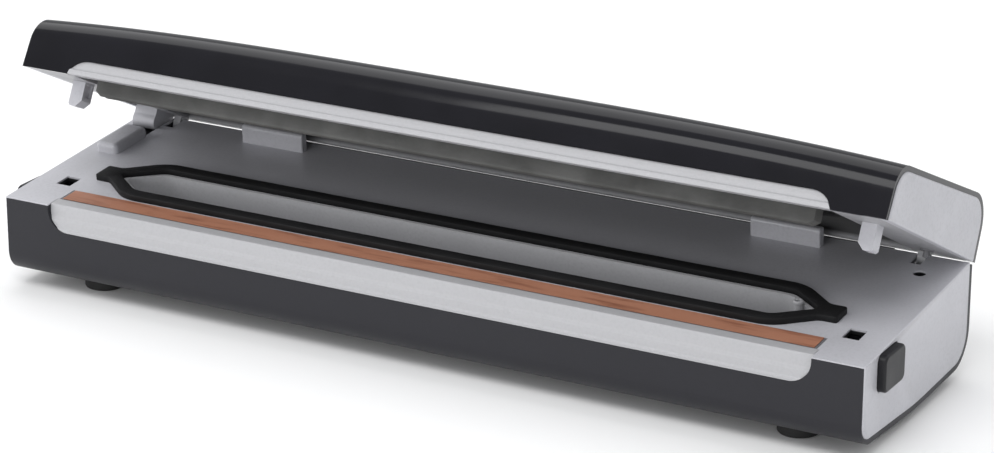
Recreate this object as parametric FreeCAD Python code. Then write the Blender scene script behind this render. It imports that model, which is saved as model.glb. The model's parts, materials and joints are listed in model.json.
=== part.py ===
import FreeCAD, Part
import math
import os

from FreeCAD import Placement, Rotation, Vector

# A household bag vacuum sealer, stored with its lid open on its stop.
# +X runs along the sealer, +Y to its rear and +Z up. The feet stand on z = 0.
# The base is drawn in the base frame, whose origin lies under the middle of the base.
# Pieces on the deck use the deck frame (x, v, h): v runs rearwards along the sloping deck
# from its front edge, and h stands off the deck.
# Lid pieces use the lid frame (x, u, w): u runs rearwards along the lid's lower edge,
# and w goes up through the lid.

# ---- Driving dimensions, mm and degrees ----
LENGTH = 370.0
HALF = LENGTH / 2
BASE_FRONT_Y = -49.1
BASE_REAR_Y = 52.0
END_PROUD = 0.6
SHELL_WALL = 2.2
SHELL_FRONT_LOW_Z = 6.4
SHELL_LOW_Z = 3.8
SHELL_REAR_LOW_Z = 5.6
SHELL_FRONT_TOP_Z = 37.2
SHELL_REAR_TOP_Z = 43.4
REAR_SILL_TOP_Z = 44.75
REAR_SILL_LEFT_X = -130.5
REAR_SILL_RIGHT_X = 153.5

# How far the silver end panel sits inside the black shell's outline.
END_FRONT_INSET = 0.3
END_LOW_INSET = 2.6
END_REAR_INSET = 3.6
END_THICK = 2.6

DECK_FRONT_Y = -48.5
DECK_FRONT_Z = 37.8
DECK_TILT = 4.5
DECK_LENGTH = 97.0
DECK_THICK = 2.2

MOUTH_HALF = 164.4
MOUTH_LOW_Z = 27.0
MOUTH_CORNER = 9.0
TRAY_TOP_V = 1.7

DECK_FRONT_LIP = 0.5

GASKET_MID_V = 33.2
GASKET_HEIGHT = 2.6
CHAMBER_HALF_WIDTH = 11.0
CHAMBER_DEPTH = 8.5
LINER_WALL = 1.4

SEAL_HALF = 162.2
SEAL_FRONT_V = 7.0
SEAL_REAR_V = 15.6

SLOT_INNER = 167.4
SLOT_OUTER = 174.0
SLOT_FRONT_V = 18.8
SLOT_REAR_V = 26.9

HINGE_Y = 46.8
HINGE_Z = 35.4
HINGE_X = 166.6
HINGE_PIN_R = 1.5
HINGE_ARM_R = 1.56
KNUCKLE_R = 3.6
ARM_THICK = 3.4
OPEN_ANGLE = 31.26

LID_V = -1.6
LID_GAP = 0.6
LID_DEPTH = 99.8
LID_WALL = 1.8
CAP_THICK = 3.4
LID_FRONT_HEIGHT = 24.8
LID_REAR_HEIGHT = 29.2
TRIM_HALF = 163.6
TRIM_HEIGHT = 6.3
TRIM_CORNER = 8.8
LID_CROWN = 3.9
LID_CROWN_POWER = 3.3
LID_SECTIONS = (-1.0, -0.86, -0.64, -0.35, 0.0, 0.35, 0.64, 0.86, 1.0)

BUTTON_Y = -28.6
BUTTON_Z = 31.0
BUTTON_WIDTH = 18.4
BUTTON_HEIGHT = 14.2
BUTTON_PROUD = 3.1

SCREW_XS = (-92.0, 0.0, 92.0)
SCREW_YS = (-29.4, 38.0)
POST_R = 2.8
PORT_X = 142.6
PORT_V = 36.4
PORT_TOP_H = 2.3
PUMP_Y = 24.0
PUMP_Z = 21.5
FOOT_X = 152.0
FOOT_Y = 29.5
FOOT_R = 8.0

# The open lid overhangs the rear, so the base stands this far in front of the origin.
BASE_SHIFT_Y = -6.92

SIDES = (("left", -1), ("right", 1))
X_AXIS = Vector(1, 0, 0)
Y_AXIS = Vector(0, 1, 0)
Z_AXIS = Vector(0, 0, 1)


# ---- Shape helpers ----
def box(x0, x1, y0, y1, z0, z1):
    """A box between two corners, given in either order along x."""
    low, high = min(x0, x1), max(x0, x1)
    return Part.makeBox(high - low, y1 - y0, z1 - z0, Vector(low, y0, z0))


def rod(radius, start, end):
    """A round bar between two points."""
    a, b = Vector(*start), Vector(*end)
    return Part.makeCylinder(radius, (b - a).Length, a, b - a)


def fused(*shapes):
    """One solid made of shapes that overlap."""
    whole = shapes[0].fuse(list(shapes[1:]))
    return whole.removeSplitter()


def cut(shape, *tools):
    """A shape with every tool taken away."""
    for tool in tools:
        shape = shape.cut(tool)
    return shape


def rounded_wire(corners, plane):
    """A closed wire through corners (a, b, radius), each rounded by a tangent arc.

    plane puts the two coordinates into space, such as lambda a, b: Vector(0, a, b).
    """
    count = len(corners)
    spans = []
    for i, (a, b, radius) in enumerate(corners):
        here = Vector(a, b, 0)
        before = Vector(*corners[i - 1][:2], 0) - here
        after = Vector(*corners[(i + 1) % count][:2], 0) - here
        before.normalize()
        after.normalize()
        if radius == 0:
            spans.append((here, here, here))
            continue
        half_angle = before.getAngle(after) / 2
        reach = radius / math.tan(half_angle)
        towards = before + after
        towards.normalize()
        middle = here + towards * (radius / math.sin(half_angle) - radius)
        spans.append((here + before * reach, middle, here + after * reach))
    edges = []
    for i, (start, middle, end) in enumerate(spans):
        if (start - end).Length > 1e-6:
            points = [plane(p.x, p.y) for p in (start, middle, end)]
            edges.append(Part.Arc(*points).toShape())
        following = spans[(i + 1) % count][0]
        if (following - end).Length > 1e-6:
            edges.append(Part.LineSegment(plane(end.x, end.y), plane(following.x, following.y)).toShape())
    return Part.Wire(edges)


def prism_x(corners, x0, x1):
    """An outline of (y, z, radius) corners, drawn out along x."""
    low, high = min(x0, x1), max(x0, x1)
    wire = rounded_wire(corners, lambda y, z: Vector(low, y, z))
    return Part.Face(wire).extrude(Vector(high - low, 0, 0))


def prism_y(corners, y0, y1):
    """An outline of (x, z, radius) corners, drawn out along y."""
    wire = rounded_wire(corners, lambda x, z: Vector(x, y0, z))
    return Part.Face(wire).extrude(Vector(0, y1 - y0, 0))


def prism_z(corners, z0, z1):
    """An outline of (x, y, radius) corners, drawn out along z."""
    wire = rounded_wire(corners, lambda x, y: Vector(x, y, z0))
    return Part.Face(wire).extrude(Vector(0, 0, z1 - z0))


def rectangle(a0, a1, b0, b1, radius=0):
    """The corners of a rectangle, for the prisms."""
    return [(a0, b0, radius), (a1, b0, radius), (a1, b1, radius), (a0, b1, radius)]


def mirrored(corners):
    """The x > 0 half of an outline, and the same corners mirrored in reverse."""
    return list(corners) + [(-a, b, r) for a, b, r in reversed(corners)]


def placed(shape, placement):
    """A copy of a shape, moved."""
    moved = shape.copy()
    moved.Placement = placement.multiply(moved.Placement)
    return moved


def rounded_edges(shape, radius, chosen):
    """A shape with a small radius on the edges that chosen picks."""
    edges = [edge for edge in shape.Edges if chosen(edge)]
    return shape.makeFillet(radius, edges)


def flat_at(edge, axis, value):
    """Whether an edge lies wholly on the plane where one coordinate has a value."""
    bounds = edge.BoundBox
    ends = {
        "x": (bounds.XMin, bounds.XMax),
        "y": (bounds.YMin, bounds.YMax),
        "z": (bounds.ZMin, bounds.ZMax),
    }
    low, high = ends[axis]
    return abs(low - value) < 1e-3 and abs(high - value) < 1e-3


def spring(radius, wire_radius, length, turns):
    """A coil spring along +X from the origin, with its wire inside the given length."""
    pitch = (length - 2 * wire_radius) / turns
    path = Part.makeHelix(pitch, length - 2 * wire_radius, radius)
    section = Part.Wire(Part.makeCircle(wire_radius, Vector(radius, 0, 0), Y_AXIS))
    coil = Part.Wire(path).makePipeShell([section], True, True)
    coil = placed(coil, Placement(Vector(0, 0, wire_radius), Rotation()))
    return placed(coil, Placement(Vector(), Rotation(Y_AXIS, 90)))


DECK = Placement(Vector(0, DECK_FRONT_Y, DECK_FRONT_Z), Rotation(X_AXIS, DECK_TILT))
LID_CLOSED = DECK.multiply(Placement(Vector(0, LID_V, LID_GAP), Rotation()))
HINGE = Vector(0, HINGE_Y, HINGE_Z)
OPENED = Placement(Vector(), Rotation(X_AXIS, -OPEN_ANGLE), HINGE)
HINGE_IN_LID = LID_CLOSED.inverse().multVec(HINGE)


def deck_z(y):
    """Height of the deck's top face above the floor."""
    return DECK_FRONT_Z + (y - DECK_FRONT_Y) * math.tan(math.radians(DECK_TILT))


def floor_z(y):
    """Height of the base shell's underside above the floor."""
    end_y, end_z = (BASE_FRONT_Y, SHELL_FRONT_LOW_Z) if y < 0 else (BASE_REAR_Y, SHELL_REAR_LOW_Z)
    return SHELL_LOW_Z + (end_z - SHELL_LOW_Z) * y / end_y


# ---- Outlines shared by several pieces ----
def base_outline(front, low, rear, top_z):
    """The base's end profile (y, z), open at the top, moved in from its front, underside and rear."""
    return [
        (BASE_FRONT_Y + front, top_z, 0),
        (BASE_FRONT_Y + front, SHELL_FRONT_LOW_Z + low, 9.0 - low),
        (0, SHELL_LOW_Z + low, 150.0),
        (BASE_REAR_Y - rear, SHELL_REAR_LOW_Z + low, 14.0 - low),
        (BASE_REAR_Y - rear, top_z, 0),
    ]


def end_panel_outline(gap):
    """The silver end panel's profile (y, z), grown by gap."""
    return base_outline(END_FRONT_INSET - gap, END_LOW_INSET - gap, END_REAR_INSET - gap, 60.0)


def mouth_outline(gap):
    """The bag mouth in the base's front wall (x, z), moved inwards by gap."""
    wide = MOUTH_HALF - gap
    return [
        (wide, 60.0, 0),
        (wide, MOUTH_LOW_Z + gap, MOUTH_CORNER - gap),
        (-wide, MOUTH_LOW_Z + gap, MOUTH_CORNER - gap),
        (-wide, 60.0, 0),
    ]


def chamber_outline(grow):
    """The vacuum chamber's long hexagon (x, v), grown by an amount."""
    wide = CHAMBER_HALF_WIDTH + grow
    return mirrored([
        (138.0 + grow / 2, GASKET_MID_V - wide, 8.0),
        (152.5 + grow * 1.5, GASKET_MID_V, 2.0 + max(grow, 0)),
        (138.0 + grow / 2, GASKET_MID_V + wide, 8.0),
    ])


def gasket_outline():
    """The gasket's outer edge (x, v): a long hexagon with a short square nose at each end."""
    wide = 16.7
    nose = 5.1
    return mirrored([
        (140.5, GASKET_MID_V - wide, 16.0),
        (154.6, GASKET_MID_V - nose, 5.0),
        (161.5, GASKET_MID_V - nose, 0.8),
        (161.5, GASKET_MID_V + nose, 0.8),
        (154.6, GASKET_MID_V + nose, 5.0),
        (140.5, GASKET_MID_V + wide, 16.0),
    ])


def lid_profile(share, inset, low_w, rear_inset=None):
    """The lid's profile (u, w) at a share of its half length, moved inwards by inset."""
    drop = LID_CROWN * abs(share) ** LID_CROWN_POWER
    rear = LID_DEPTH - (inset if rear_inset is None else rear_inset)
    radius_front = 13.0 - 1.5 * abs(share) - 0.9 * inset
    radius_rear = 12.5 - inset
    return [
        (inset, low_w, 0),
        (2.0 + inset, LID_FRONT_HEIGHT - drop - inset, radius_front),
        (rear - 0.8, LID_REAR_HEIGHT - drop - inset, radius_rear),
        (rear, low_w, 0),
    ]


def trim_outline(gap):
    """The trim's long low arch (x, w) in the lid's front, moved inwards by gap."""
    wide, high = TRIM_HALF - gap, TRIM_HEIGHT - gap
    return [(wide, -5, 0), (wide, high, TRIM_CORNER), (-wide, high, TRIM_CORNER), (-wide, -5, 0)]


def lid_body(inset, low_w, half_length):
    """A solid that fills the lid's crowned form, moved inwards by inset."""
    wires = []
    for share in LID_SECTIONS:
        x = share * half_length
        wires.append(rounded_wire(lid_profile(share, inset, low_w), lambda u, w, x=x: Vector(x, u, w)))
    return Part.makeLoft(wires, True, False)


# ---- Base, black shell and silver frame ----
def make_base_shell():
    """Black wrap: front wall with the bag mouth, floor and rounded rear wall."""
    long = HALF - END_PROUD
    wall = SHELL_WALL
    outer = prism_x(base_outline(0, 0, 0, 60.0), -long, long)
    inner = prism_x(base_outline(wall, wall, wall, 70.0), -long - 1, long + 1)
    shell = cut(outer, inner)
    for _, side in SIDES:
        rim = prism_x(base_outline(wall, wall - 0.1, wall - 0.1, 60.0), side * (HALF - 5.0), side * long)
        shell = fused(shell, cut(rim, prism_x(end_panel_outline(0.05), side * (HALF - 6.0), side * HALF)))
    shell = cut(shell, prism_y(mouth_outline(0), -60.0, -44.0))
    shell = cut(shell, box(-HALF, HALF, -60, -40, SHELL_FRONT_TOP_Z, 80))
    shell = cut(shell, box(-HALF, HALF, -60, 60, SHELL_REAR_TOP_Z, 80))
    sill = [(BASE_REAR_Y - 2.2, 40, 0), (BASE_REAR_Y - 2.2, REAR_SILL_TOP_Z, 0.4)]
    sill += [(BASE_REAR_Y, REAR_SILL_TOP_Z, 1.5), (BASE_REAR_Y, 40, 0)]
    shell = fused(shell, prism_x(sill, REAR_SILL_LEFT_X, REAR_SILL_RIGHT_X))
    for _, side in SIDES:
        end_panel = prism_x(end_panel_outline(0.05), side * (HALF - END_THICK - 0.05), side * HALF)
        shell = cut(shell, end_panel)
        inner, outer = side * (HINGE_X - 4.3), side * (HINGE_X + 4.0)
        shell = cut(shell, box(inner, outer, 40, 60, HINGE_Z - KNUCKLE_R - 0.5, 60))
        for y in (-FOOT_Y, FOOT_Y):
            shell = cut(shell, rod(FOOT_R + 0.1, (side * FOOT_X, y, 0), (side * FOOT_X, y, floor_z(y) + 0.7)))
            shell = cut(shell, rod(1.8, (side * FOOT_X, y, 0), (side * FOOT_X, y, 12)))
    for x in SCREW_XS:
        for y in SCREW_YS:
            shell = cut(shell, rod(3.3, (x, y, 0), (x, y, floor_z(y) + 1.2)))
            shell = cut(shell, rod(1.7, (x, y, 0), (x, y, 12)))
    for i in range(9):
        x = 30.0 + 7.0 * i
        shell = cut(shell, prism_z(rectangle(x - 1.3, x + 1.3, -8.0, 20.0, 1.2), 0, 8))
    return cut(shell, box(-143.3, -118.7, 40, 60, 11.7, 28.3))


def latch_rails(side):
    """Ribs under the deck that guide one latch slide, in the deck frame."""
    ribs = []
    for wall_v, lip_v in ((16.1, 16.1), (30.3, 29.0)):
        ribs.append(box(side * 164.0, side * 176.8, wall_v, wall_v + 0.7, -6.4, -DECK_THICK + 0.3))
        ribs.append(box(side * 164.0, side * 167.0, lip_v, lip_v + 2.0, -6.4, -5.1))
    ribs.append(box(side * 145.6, side * 147.6, 18.0, 26.4, -13.0, -DECK_THICK + 0.3))
    return ribs


def make_base_frame():
    """Silver-grey moulding: the deck, both end walls, the screw posts and the latch rails."""
    deck = placed(box(1.0 - HALF, HALF - 1.0, TRAY_TOP_V, DECK_LENGTH, -DECK_THICK, 0), DECK)
    lip = placed(box(1.0 - HALF, HALF - 1.0, -0.4, TRAY_TOP_V + 1.0, -DECK_FRONT_LIP, 0), DECK)
    above = placed(box(-200, 200, -60, 160, 0, 60), DECK)
    ribs = []
    for _, side in SIDES:
        wall = cut(prism_x(end_panel_outline(0), side * (HALF - END_THICK), side * HALF), above)
        ribs.append(rounded_edges(wall, 0.5, lambda edge, face_x=side * HALF: flat_at(edge, "x", face_x)))
    for _, side in SIDES:
        ribs += [placed(rib, DECK) for rib in latch_rails(side)]
    for x in SCREW_XS:
        for y in SCREW_YS:
            ribs.append(rod(POST_R, (x, y, floor_z(y) + SHELL_WALL + 0.8), (x, y, deck_z(y) - 1.0)))
    frame = fused(deck, lip, *ribs)

    holes = [prism_z(chamber_outline(0.05), -4, 4)]
    holes.append(box(-163.4, 163.4, SEAL_FRONT_V - 0.5, SEAL_REAR_V + 0.5, -4, 4))
    holes.append(box(-MOUTH_HALF, MOUTH_HALF, -4, SEAL_FRONT_V - 0.5, -4, 4))
    holes.append(rod(2.5, (171.6, 80.6, -4), (171.6, 80.6, 4)))
    holes.append(box(-181.7, -169.8, 76.8, 100.0, -4, 4))
    for _, side in SIDES:
        holes.append(box(side * SLOT_INNER, side * SLOT_OUTER, SLOT_FRONT_V, SLOT_REAR_V, -4, 4))
        holes.append(box(side * (HINGE_X - 2.2), side * (HINGE_X + 2.2), 87.8, 100.0, -4, 4))
    frame = cut(frame, *[placed(hole, DECK) for hole in holes])
    for _, side in SIDES:
        half_y, half_z = BUTTON_WIDTH / 2 + 0.3, BUTTON_HEIGHT / 2 + 0.3
        window = rectangle(BUTTON_Y - half_y, BUTTON_Y + half_y, BUTTON_Z - half_z, BUTTON_Z + half_z, 3.3)
        frame = cut(frame, prism_x(window, side * (HALF - 8.6), side * (HALF + 1)))
    for x in SCREW_XS:
        for y in SCREW_YS:
            frame = cut(frame, rod(1.45, (x, y, 0), (x, y, floor_z(y) + 16.0)))
    return frame


def make_front_tray():
    """Light-grey stepped lip that fills the bag mouth and leads a bag up to the deck."""
    top = deck_z(-46.8)
    low = MOUTH_LOW_Z
    steps = [
        (-46.8, top, 0.5), (-47.4, low + 6.2, 1.0), (-48.2, low + 4.6, 0.6),
        (-48.4, low + 1.9, 0.4), (-48.95, low + 1.3, 0.4), (-49.0, low - 2, 0),
        (-46.0, low - 2, 0), (-44.6, top - 4.0, 0), (-44.6, top, 0),
    ]
    face = prism_x(steps, -MOUTH_HALF, MOUTH_HALF).common(prism_y(mouth_outline(0.15), -60.0, -40.0))
    flange = box(0.2 - MOUTH_HALF, MOUTH_HALF - 0.2, TRAY_TOP_V + 0.5, SEAL_FRONT_V - 0.65, -DECK_THICK, 0)
    return fused(face, placed(flange, DECK))


def make_chamber_liner():
    """Light-grey trough that bag liquid falls into, under the gasket's opening."""
    outer = prism_z(chamber_outline(0), -CHAMBER_DEPTH - LINER_WALL, 0.4)
    inner = prism_z(chamber_outline(-LINER_WALL), -CHAMBER_DEPTH, 2)
    port = rod(1.6, (PORT_X, PORT_V, -20), (PORT_X, PORT_V, 2))
    return cut(outer, inner, port)


def make_base_gasket():
    """Black foam ring round the chamber."""
    return cut(prism_z(gasket_outline(), 0, GASKET_HEIGHT), prism_z(chamber_outline(0.3), -1, 5))


def make_vacuum_port():
    """Small upright nozzle that draws the air out of the chamber."""
    stem = rod(1.5, (PORT_X, PORT_V, -17.0), (PORT_X, PORT_V, PORT_TOP_H))
    collar = rod(1.85, (PORT_X, PORT_V, PORT_TOP_H - 1.4), (PORT_X, PORT_V, PORT_TOP_H))
    foot = rod(1.85, (PORT_X, PORT_V, -CHAMBER_DEPTH + 0.05), (PORT_X, PORT_V, -CHAMBER_DEPTH + 1.2))
    bore = rod(0.9, (PORT_X, PORT_V, -18.0), (PORT_X, PORT_V, PORT_TOP_H + 1))
    return cut(fused(stem, collar, foot), bore)


def make_seal_backing():
    """Heat-proof bar under the sealing tape."""
    return box(-163.2, 163.2, SEAL_FRONT_V - 0.4, SEAL_REAR_V + 0.4, -4.2, -0.15)


def make_heating_wire():
    """Flat resistance ribbon between the bar and the tape."""
    return box(-158.0, 158.0, 10.1, 12.5, -0.15, 0)


def make_seal_tape():
    """Copper-brown non-stick tape over the heating ribbon."""
    return box(-SEAL_HALF, SEAL_HALF, SEAL_FRONT_V, SEAL_REAR_V, 0, 0.22)


def make_wire_terminals():
    """Two brass clips under the ends of the heating bar."""
    clips = []
    for _, side in SIDES:
        block = box(side * 154.0, side * 160.0, 8.8, 13.8, -8.2, -4.2)
        tail = rod(1.2, (side * 157, 11.3, -11), (side * 157, 11.3, -8))
        clips.append(fused(block, tail))
    return Part.makeCompound(clips)


def make_bag_stop(side):
    """Upright stop near the rear of the deck that squares up the bag's open edge."""
    centre = side * 114.5
    low, high = centre - 14.5, centre + 14.5
    plate = box(low, high, 86.2, 89.6, 0, 7.6)
    plate = rounded_edges(plate, 1.5, lambda e: flat_at(e, "z", 7.6) and flat_at(e, "y", 86.2))
    return rounded_edges(plate, 0.7, lambda e: flat_at(e, "z", 7.6))


def make_cable_guard():
    """Long rounded cover on the deck over the wires that run up to the lid."""
    block = prism_z(rectangle(-179.2, -168.8, 53.5, 76.3, 2.2), 0, 4.2)
    return rounded_edges(block, 1.9, lambda e: flat_at(e, "z", 4.2))


def make_foot(x, y):
    """Rubber foot with a stud that pushes up through the shell."""
    pad = rod(FOOT_R, (x, y, 0), (x, y, floor_z(y) + 0.6))
    pad = rounded_edges(pad, 0.9, lambda e: flat_at(e, "z", 0))
    return fused(pad, rod(1.7, (x, y, 1), (x, y, floor_z(y) + SHELL_WALL + 1.5)))


def make_base_screws():
    """Six screws up through the shell into the frame's posts."""
    screws = []
    for x in SCREW_XS:
        for y in SCREW_YS:
            low = floor_z(y)
            head = rod(2.9, (x, y, low + 0.25), (x, y, low + 1.2))
            cross = [box(x - 1.6, x + 1.6, y - 0.35, y + 0.35, 0, low + 0.8)]
            cross.append(box(x - 0.35, x + 0.35, y - 1.6, y + 1.6, 0, low + 0.8))
            screws.append(cut(fused(head, rod(1.4, (x, y, low + 1), (x, y, low + 14))), *cross))
    return Part.makeCompound(screws)


# ---- Hinges ----
def make_hinge_bracket(side):
    """Clevis on the base: two ears that hold the hinge pin."""
    inner, outer = side * (HINGE_X - 4.0), side * (HINGE_X + 3.7)
    foot = box(inner, outer, 38.0, 48.3, 23.0, 27.0)
    ears = []
    gap = ARM_THICK / 2 + 0.3
    for a, b in ((HINGE_X - 4.0, HINGE_X - gap), (HINGE_X + gap, HINGE_X + 3.7)):
        ear = [(42.8, 25.0, 0), (48.3, 25.0, 0), (48.3, HINGE_Z - 2.0, 0), (43.3, HINGE_Z, 0)]
        knuckle = rod(KNUCKLE_R, (side * a, HINGE_Y, HINGE_Z), (side * b, HINGE_Y, HINGE_Z))
        ears.append(fused(prism_x(ear, side * a, side * b), knuckle))
    stalk = box(inner, outer, 38.0, 40.0, 26.0, deck_z(38.0) - DECK_THICK - 0.05)
    bracket = fused(foot, stalk, *ears)
    return cut(bracket, rod(HINGE_PIN_R, (side * 160, HINGE_Y, HINGE_Z), (side * 175, HINGE_Y, HINGE_Z)))


def make_hinge_pin(side):
    """Steel pin fixed in the clevis ears."""
    inner, outer = side * (HINGE_X - 4.1), side * (HINGE_X + 3.7)
    return rod(HINGE_PIN_R, (inner, HINGE_Y, HINGE_Z), (outer, HINGE_Y, HINGE_Z))


def make_hinge_arm(side):
    """Lid arm that turns on the pin, with a flange inside the lid. Lid frame."""
    u, w = HINGE_IN_LID.y, HINGE_IN_LID.z
    a, b = side * (HINGE_X - ARM_THICK / 2), side * (HINGE_X + ARM_THICK / 2)
    side_view = [
        (u - KNUCKLE_R, w, 0), (u + 0.4, w, 0), (u + 0.4, 2.5, 0), (u - 5.6, 2.5, 0), (u - 5.6, -2.0, 2),
    ]
    web = prism_x(side_view, a, b)
    flange = box(side * (HINGE_X - 2.6), side * (HINGE_X + 3.0), u - 9.0, u + 0.4, 2.05, 3.6)
    arm = fused(web, flange, rod(KNUCKLE_R, (a, u, w), (b, u, w)))
    return cut(arm, rod(HINGE_ARM_R, (side * 160, u, w), (side * 175, u, w)))


# ---- Latches and release buttons ----
def make_latch_slide(side):
    """Flat slide under the deck. A catch in its window reaches into the lid hook's pocket. Deck frame."""
    plate = box(side * 158.0, side * 179.4, 17.0, 30.0, -4.8, -2.8)
    window = box(side * 166.1, side * 176.6, SLOT_FRONT_V - 0.2, SLOT_REAR_V + 0.2, -6, 0)
    catch = box(side * 165.0, side * 167.5, 21.3, 24.3, -4.8, -2.8)
    tab = box(side * 158.0, side * 160.0, 19.4, 26.2, -12.4, -4.5)
    peg = rod(1.3, (side * 155.6, 22.8, -8.8), (side * 159.0, 22.8, -8.8))
    return fused(cut(fused(plate, tab, peg), window), catch)


def make_latch_spring(side):
    """Return spring between the frame's rib and the slide's tab. Deck frame."""
    coil = spring(2.3, 0.3, 10.2, 6)
    turn = Rotation() if side > 0 else Rotation(Z_AXIS, 180)
    return placed(coil, Placement(Vector(side * 147.7, 22.8, -8.8), turn))


def make_release_button(side):
    """Black push button in the end wall, with a flange behind it."""
    face = HALF + BUTTON_PROUD
    half_y, half_z = BUTTON_WIDTH / 2, BUTTON_HEIGHT / 2
    outline = rectangle(BUTTON_Y - half_y, BUTTON_Y + half_y, BUTTON_Z - half_z, BUTTON_Z + half_z, 3.0)
    cap = prism_x(outline, side * 180.0, side * face)
    cap = rounded_edges(cap, 1.0, lambda e: flat_at(e, "x", side * face))
    flange = box(side * 179.5, side * 180.7, BUTTON_Y - 11, BUTTON_Y + 11, BUTTON_Z - 8.4, BUTTON_Z + 3.6)
    return fused(cap, flange)


def make_lid_hook(side):
    """Prong under the lid, with a lead-in chamfer and a pocket for the catch. Lid frame."""
    profile = [
        (side * 167.75, 2.5, 0), (side * 173.65, 2.5, 0), (side * 173.65, -9.2, 0), (side * 172.9, -10.0, 0),
        (side * 170.2, -10.0, 0), (side * 167.75, -7.5, 0),
    ]
    shank = prism_y(profile, 21.1, 27.7)
    pocket = box(side * 166.0, side * 169.0, 22.5, 26.3, -5.9, -0.9)
    flange = box(side * 166.4, side * 176.2, 19.0, 30.0, 2.05, 3.4)
    return cut(fused(shank, flange), pocket)


# ---- Pump, motor and electrics ----
def make_motor_can():
    """Direct-current motor: can, end boss and rear terminals."""
    can = rod(12.0, (-80, PUMP_Y, PUMP_Z), (-42.2, PUMP_Y, PUMP_Z))
    can = rounded_edges(can, 1.5, lambda e: flat_at(e, "x", -80))
    boss = rod(4.0, (-43, PUMP_Y, PUMP_Z), (-40.6, PUMP_Y, PUMP_Z))
    lugs = [box(-84, -79, y - 1.2, y + 1.2, PUMP_Z - 0.4, PUMP_Z + 0.4) for y in (PUMP_Y - 7, PUMP_Y + 7)]
    return cut(fused(can, boss, *lugs), rod(1.2, (-76, PUMP_Y, PUMP_Z), (-30, PUMP_Y, PUMP_Z)))


def make_motor_shaft():
    """Motor shaft with the eccentric that works the pump."""
    shaft = rod(1.15, (-75.8, PUMP_Y, PUMP_Z), (-22.0, PUMP_Y, PUMP_Z))
    eccentric = rod(4.6, (-34.0, PUMP_Y + 1.6, PUMP_Z), (-29.0, PUMP_Y + 1.6, PUMP_Z))
    return fused(shaft, eccentric)


def pump_outline(inset):
    """The pump's square section (x, y), moved inwards by inset."""
    low_y, high_y = PUMP_Y - 13.5 + inset, PUMP_Y + 13.5 - inset
    return rectangle(-40.4 + inset, -14.0 - inset, low_y, high_y, 3.0 - inset / 2)


def make_pump_housing():
    """Crankcase of the diaphragm pump, open at the top under the diaphragm."""
    case = prism_z(pump_outline(0), 7.5, 33.0)
    cavity = prism_z(pump_outline(2.0), 9.5, 34.0)
    bore = rod(4.1, (-42, PUMP_Y, PUMP_Z), (-38, PUMP_Y, PUMP_Z))
    return cut(case, cavity, bore)


def make_pump_diaphragm():
    """Rubber diaphragm between the crankcase and the head."""
    return prism_z(pump_outline(0), 33.0, 34.0)


def make_pump_head():
    """Valve head on the diaphragm, with an inlet socket on its right."""
    head = prism_z(pump_outline(0), 34.0, 39.6)
    return cut(head, rod(2.0, (-20, PUMP_Y, 36.8), (-10, PUMP_Y, 36.8)))


def make_release_valve():
    """Solenoid valve that lets air back in, between the hose and the pump head."""
    body = box(-12.6, 4.0, PUMP_Y - 6.5, PUMP_Y + 6.5, 27.0, 38.6)
    inlet = rod(1.9, (-18.0, PUMP_Y, 36.8), (-12.0, PUMP_Y, 36.8))
    nipple = rod(1.75, (3.0, PUMP_Y, 30.0), (11.0, PUMP_Y, 30.0))
    coil = rod(5.2, (-4.3, PUMP_Y, 12.0), (-4.3, PUMP_Y, 27.5))
    return fused(body, inlet, nipple, coil)


def make_vacuum_hose():
    """Soft hose from the chamber nozzle to the valve: straight runs and tangent arcs."""
    nozzle = DECK.multVec(Vector(PORT_X, PORT_V, -12.0))
    down = DECK.Rotation.multVec(Vector(0, 0, -1))
    turn_in = Vector(22.0, PUMP_Y, 30.0)
    route = [nozzle, nozzle + down * 14.0, Vector(22.0, 2.0, 13.0), turn_in, turn_in - Vector(17.8, 0, 0)]
    edges = []
    last = route[0]
    for before, corner, after, radius in zip(route, route[1:], route[2:], (9.0, 12.0, 10.0)):
        a = (before - corner).normalize()
        b = (after - corner).normalize()
        half_angle = a.getAngle(b) / 2
        reach = radius / math.tan(half_angle)
        middle = corner + (a + b).normalize() * (radius / math.sin(half_angle) - radius)
        edges.append(Part.LineSegment(last, corner + a * reach).toShape())
        edges.append(Part.Arc(corner + a * reach, middle, corner + b * reach).toShape())
        last = corner + b * reach
    edges.append(Part.LineSegment(last, route[-1]).toShape())
    path = Part.Wire(edges)
    tubes = []
    for radius in (3.0, 1.81):
        ring = Part.Wire(Part.makeCircle(radius, route[0], down))
        tubes.append(path.makePipeShell([ring], True, True))
    return tubes[0].cut(tubes[1])


def make_control_board():
    """Main circuit board with its relay, capacitors, heat sink and connectors."""
    board = box(34, 84, 8, 33, 12.0, 13.6)
    parts = [box(38, 53, 11, 21, 13, 26), box(70, 73, 10, 31, 13, 30), box(38, 50, 27, 32, 13, 20)]
    for x, y, r, top in ((60, 14, 4.0, 27), (60, 25, 4.0, 25), (79, 14, 3.0, 24), (79, 22, 3.0, 24)):
        parts.append(rod(r, (x, y, 13), (x, y, top)))
    legs = [rod(2.0, (x, y, floor_z(y) + SHELL_WALL + 0.3), (x, y, 12.5)) for x in (37, 81) for y in (11, 30)]
    return fused(board, *parts, *legs)


def make_transformer():
    """Mains transformer: laminated core and wound bobbin."""
    core = box(-138, -100, 6, 30, 8.4, 34.4)
    windows = [box(-131, -123, 5, 31, 14.9, 27.9), box(-115, -107, 5, 31, 14.9, 27.9)]
    bobbin = box(-131.0, -107.0, 2.5, 33.5, 15.2, 27.6)
    return fused(cut(core, *windows), bobbin)


def make_power_inlet():
    """Two-pin mains inlet in the rear wall."""
    body = prism_y(rectangle(-143, -119, 12, 28, 1.5), 36.0, 50.4)
    recess = prism_y(rectangle(-140.2, -121.8, 14.6, 25.4, 5.0), 38.5, 52.0)
    pins = [rod(1.2, (x, 37.5, 20.0), (x, 48.5, 20.0)) for x in (-135.3, -126.7)]
    return fused(cut(body, recess), *pins)


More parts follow.
